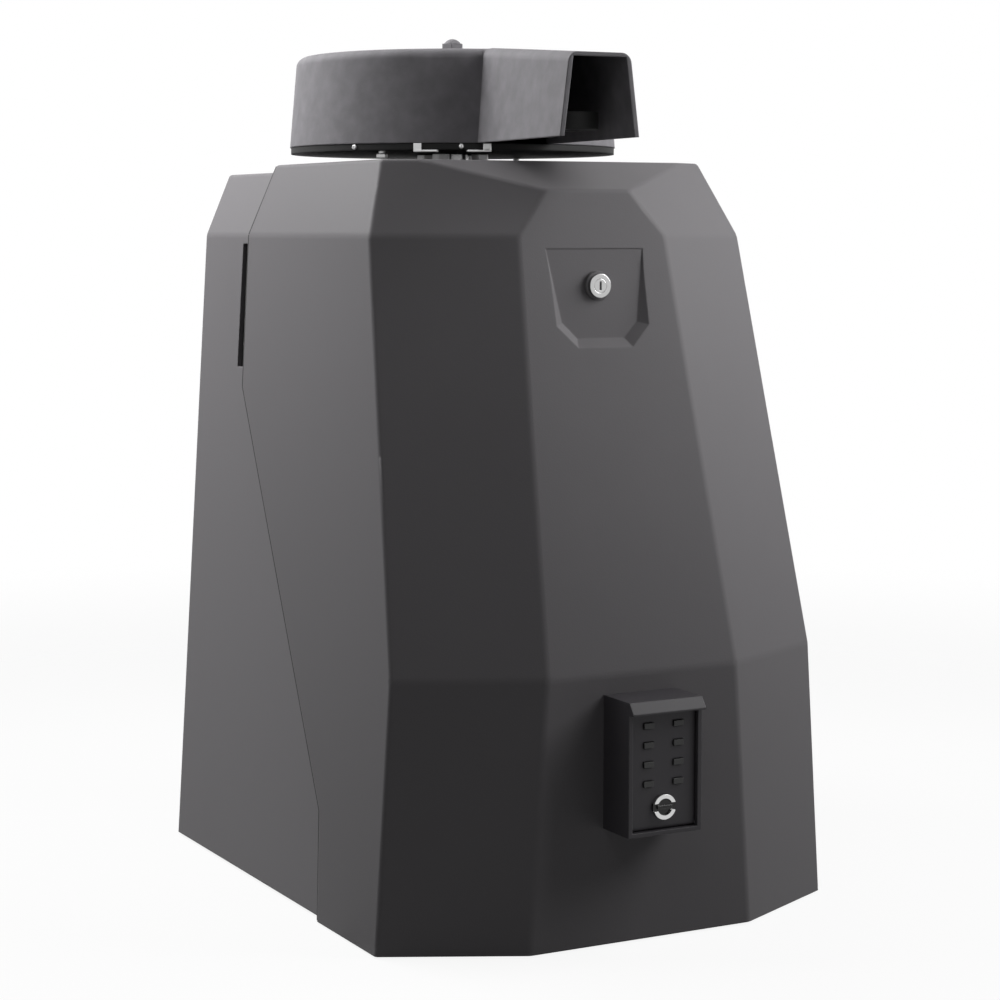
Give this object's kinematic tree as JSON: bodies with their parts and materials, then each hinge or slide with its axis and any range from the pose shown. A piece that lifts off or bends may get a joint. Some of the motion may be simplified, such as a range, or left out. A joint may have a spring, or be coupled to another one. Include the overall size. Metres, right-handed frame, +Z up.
{
  "type": "swing gate operator",
  "caption": "Floor-standing swing gate operator: faceted moulded cabinet with a lockable pull-off front cover, a push-button key safe and a motor-driven crank arm under a round snouted hood.",
  "frame": {"origin": "on the floor, on the vertical axis of the output shaft, which is the centre of the anchor pattern", "axes": "+X to the right seen from the front, the front with the lock faces -Y, +Z up along the output shaft"},
  "size_m": [0.482, 0.6342, 0.8407],
  "materials": {
    "cover_plastic": "matt moulded grain",
    "hood_plastic": "matt moulded grain",
    "safe_metal": "dark powder coat",
    "button_metal": "satin",
    "bright_metal": "polished",
    "zinc_steel": "zinc plated",
    "shaft_steel": "ground",
    "frame_steel": "satin paint",
    "cast_iron": "as cast",
    "bronze": "machined",
    "motor_paint": "satin paint",
    "rubber": "matt",
    "board": "solder mask",
    "black_plastic": "moulded",
    "red_plastic": "moulded",
    "capacitor_can": "drawn can"
  },
  "bodies": {
    "frame": {"base_plate": "frame_steel", "left_upright": "frame_steel", "right_upright": "frame_steel", "top_plate": "frame_steel", "cover_bumpers": "rubber", "gearbox_shelf": "frame_steel", "gearbox_case": "cast_iron", "gearbox_lid": "cast_iron", "gearbox_bolts": "zinc_steel", "gearbox_bearings": "shaft_steel", "worm_end_caps": "cast_iron", "shaft_bearing_housing": "cast_iron", "drive_belt": "rubber", "motor_shell": "motor_paint", "motor_stator": "cast_iron", "motor_end_bells": "motor_paint", "motor_bench": "frame_steel", "control_tray": "zinc_steel", "circuit_board": "board", "motor_capacitor": "capacitor_can", "power_switch": "black_plastic", "limit_switches": "black_plastic", "limit_switch_bracket": "zinc_steel", "lock_keeper": "zinc_steel", "rear_cover": "cover_plastic", "rear_cover_screws": "zinc_steel"},
    "output": {"output_shaft": "shaft_steel", "worm_wheel": "bronze", "limit_cams": "zinc_steel", "shaft_slinger": "rubber", "arm_hub": "frame_steel", "crank_arm": "frame_steel", "arm_hood": "hood_plastic", "dome_nut": "hood_plastic", "hood_plate": "safe_metal", "arm_bolts": "zinc_steel"},
    "worm": {"worm_shaft": "shaft_steel", "driven_pulley": "cast_iron"},
    "rotor": {"motor_rotor": "shaft_steel", "motor_pulley": "cast_iron"},
    "cover": {"front_cover": "cover_plastic", "cover_lock_body": "bright_metal", "cover_lock_nut": "zinc_steel", "key_safe_body": "safe_metal", "key_safe_hinge_pin": "zinc_steel"},
    "lock": {"cover_lock_plug": "bright_metal", "cover_lock_cam": "zinc_steel"},
    "lid": {"key_safe_lid": "safe_metal"},
    "knob": {"key_safe_knob": "bright_metal"},
    "button_1": {"key_button_1": "button_metal"},
    "button_2": {"key_button_2": "button_metal"},
    "button_3": {"key_button_3": "button_metal"},
    "button_4": {"key_button_4": "button_metal"},
    "button_5": {"key_button_5": "button_metal"},
    "button_6": {"key_button_6": "button_metal"},
    "button_7": {"key_button_7": "button_metal"},
    "button_8": {"key_button_8": "button_metal"},
    "rocker": {"power_rocker": "red_plastic"},
    "lever_1": {"limit_lever_1": "zinc_steel"},
    "lever_2": {"limit_lever_2": "zinc_steel"}
  },
  "joints": [
    {"name": "arm_swing", "type": "hinge", "parent": "frame", "child": "output", "pos_m": [0, 0, 0.75], "axis": [0, 0, 1], "range_deg": [-110, 110]},
    {"name": "worm_spin", "type": "hinge", "parent": "frame", "child": "worm", "pos_m": [0, -0.108, 0.45], "axis": [1, 0, 0], "range_deg": [-6660, 6660]},
    {"name": "motor_spin", "type": "hinge", "parent": "frame", "child": "rotor", "pos_m": [0, -0.108, 0.19], "axis": [1, 0, 0], "range_deg": [-13320, 13320]},
    {"name": "cover_slide", "type": "slide", "parent": "frame", "child": "cover", "axis": [0, -1, 0], "range_m": [0, 0.5]},
    {"name": "lock_turn", "type": "hinge", "parent": "cover", "child": "lock", "pos_m": [0, -0.2957, 0.597], "axis": [0, -1, 0], "range_deg": [0, 90]},
    {"name": "lid_open", "type": "hinge", "parent": "cover", "child": "lid", "pos_m": [-0.0043, -0.4195, 0.1165], "axis": [1, 0, 0], "range_deg": [0, 90]},
    {"name": "knob_turn", "type": "hinge", "parent": "lid", "child": "knob", "pos_m": [-0.0043, -0.4218, 0.135], "axis": [0, -1, 0], "range_deg": [0, 90]},
    {"name": "button_1_press", "type": "slide", "parent": "lid", "child": "button_1", "axis": [0, 1, 0], "range_m": [0, 0.0015], "stiffness_N_per_m": 400},
    {"name": "button_2_press", "type": "slide", "parent": "lid", "child": "button_2", "axis": [0, 1, 0], "range_m": [0, 0.0015], "stiffness_N_per_m": 400},
    {"name": "button_3_press", "type": "slide", "parent": "lid", "child": "button_3", "axis": [0, 1, 0], "range_m": [0, 0.0015], "stiffness_N_per_m": 400},
    {"name": "button_4_press", "type": "slide", "parent": "lid", "child": "button_4", "axis": [0, 1, 0], "range_m": [0, 0.0015], "stiffness_N_per_m": 400},
    {"name": "button_5_press", "type": "slide", "parent": "lid", "child": "button_5", "axis": [0, 1, 0], "range_m": [0, 0.0015], "stiffness_N_per_m": 400},
    {"name": "button_6_press", "type": "slide", "parent": "lid", "child": "button_6", "axis": [0, 1, 0], "range_m": [0, 0.0015], "stiffness_N_per_m": 400},
    {"name": "button_7_press", "type": "slide", "parent": "lid", "child": "button_7", "axis": [0, 1, 0], "range_m": [0, 0.0015], "stiffness_N_per_m": 400},
    {"name": "button_8_press", "type": "slide", "parent": "lid", "child": "button_8", "axis": [0, 1, 0], "range_m": [0, 0.0015], "stiffness_N_per_m": 400},
    {"name": "power_rock", "type": "hinge", "parent": "frame", "child": "rocker", "pos_m": [0.085, -0.183, 0.593], "axis": [1, 0, 0], "range_deg": [-12, 12]},
    {"name": "lever_1_press", "type": "hinge", "parent": "frame", "child": "lever_1", "pos_m": [0.058, -0.024, 0.5715], "axis": [0, 0, -1], "range_deg": [0, 10], "stiffness_Nm_per_rad": 0.05},
    {"name": "lever_2_press", "type": "hinge", "parent": "frame", "child": "lever_2", "pos_m": [0.058, -0.024, 0.5995], "axis": [0, 0, -1], "range_deg": [0, 10], "stiffness_Nm_per_rad": 0.05}
  ],
  "couplings": [
    {"joint": "worm_spin", "follows": "arm_swing", "ratio": -60},
    {"joint": "motor_spin", "follows": "arm_swing", "ratio": -120}
  ]
}
